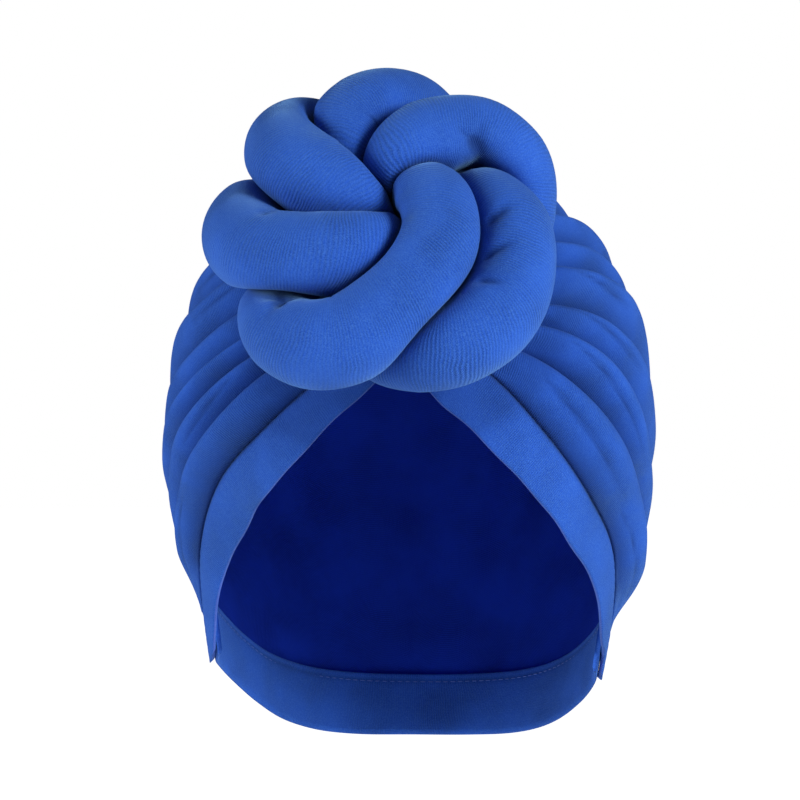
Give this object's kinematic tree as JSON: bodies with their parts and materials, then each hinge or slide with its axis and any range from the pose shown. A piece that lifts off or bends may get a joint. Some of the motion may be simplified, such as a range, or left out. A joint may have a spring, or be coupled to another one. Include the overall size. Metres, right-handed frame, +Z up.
{
  "type": "turban headwrap",
  "caption": "Pre-tied jersey turban headwrap with a soft pleated crown, a padded rosette knot of twisted rolls on the front, a pointed face opening and a nape band.",
  "frame": {"origin": "the inside of the crown's top, where the headwrap sits on the top of a head", "axes": "+Z up, the face opening and the knot face -Y, +X is the wearer's left"},
  "size_m": [0.1893, 0.2673, 0.2642],
  "materials": {
    "crown_jersey": "royal-blue cotton jersey, matt, fine vertical ribs",
    "band_jersey": "royal-blue jersey, doubled and pressed, matt",
    "roll_jersey": "royal-blue jersey stretched over padding, slightly fuzzy"
  },
  "bodies": {
    "root": {"crown": "crown_jersey", "front_band_left": "band_jersey", "front_band_right": "band_jersey", "nape_band": "band_jersey", "knot_roll_a": "roll_jersey", "knot_roll_b": "roll_jersey"}
  },
  "joints": []
}
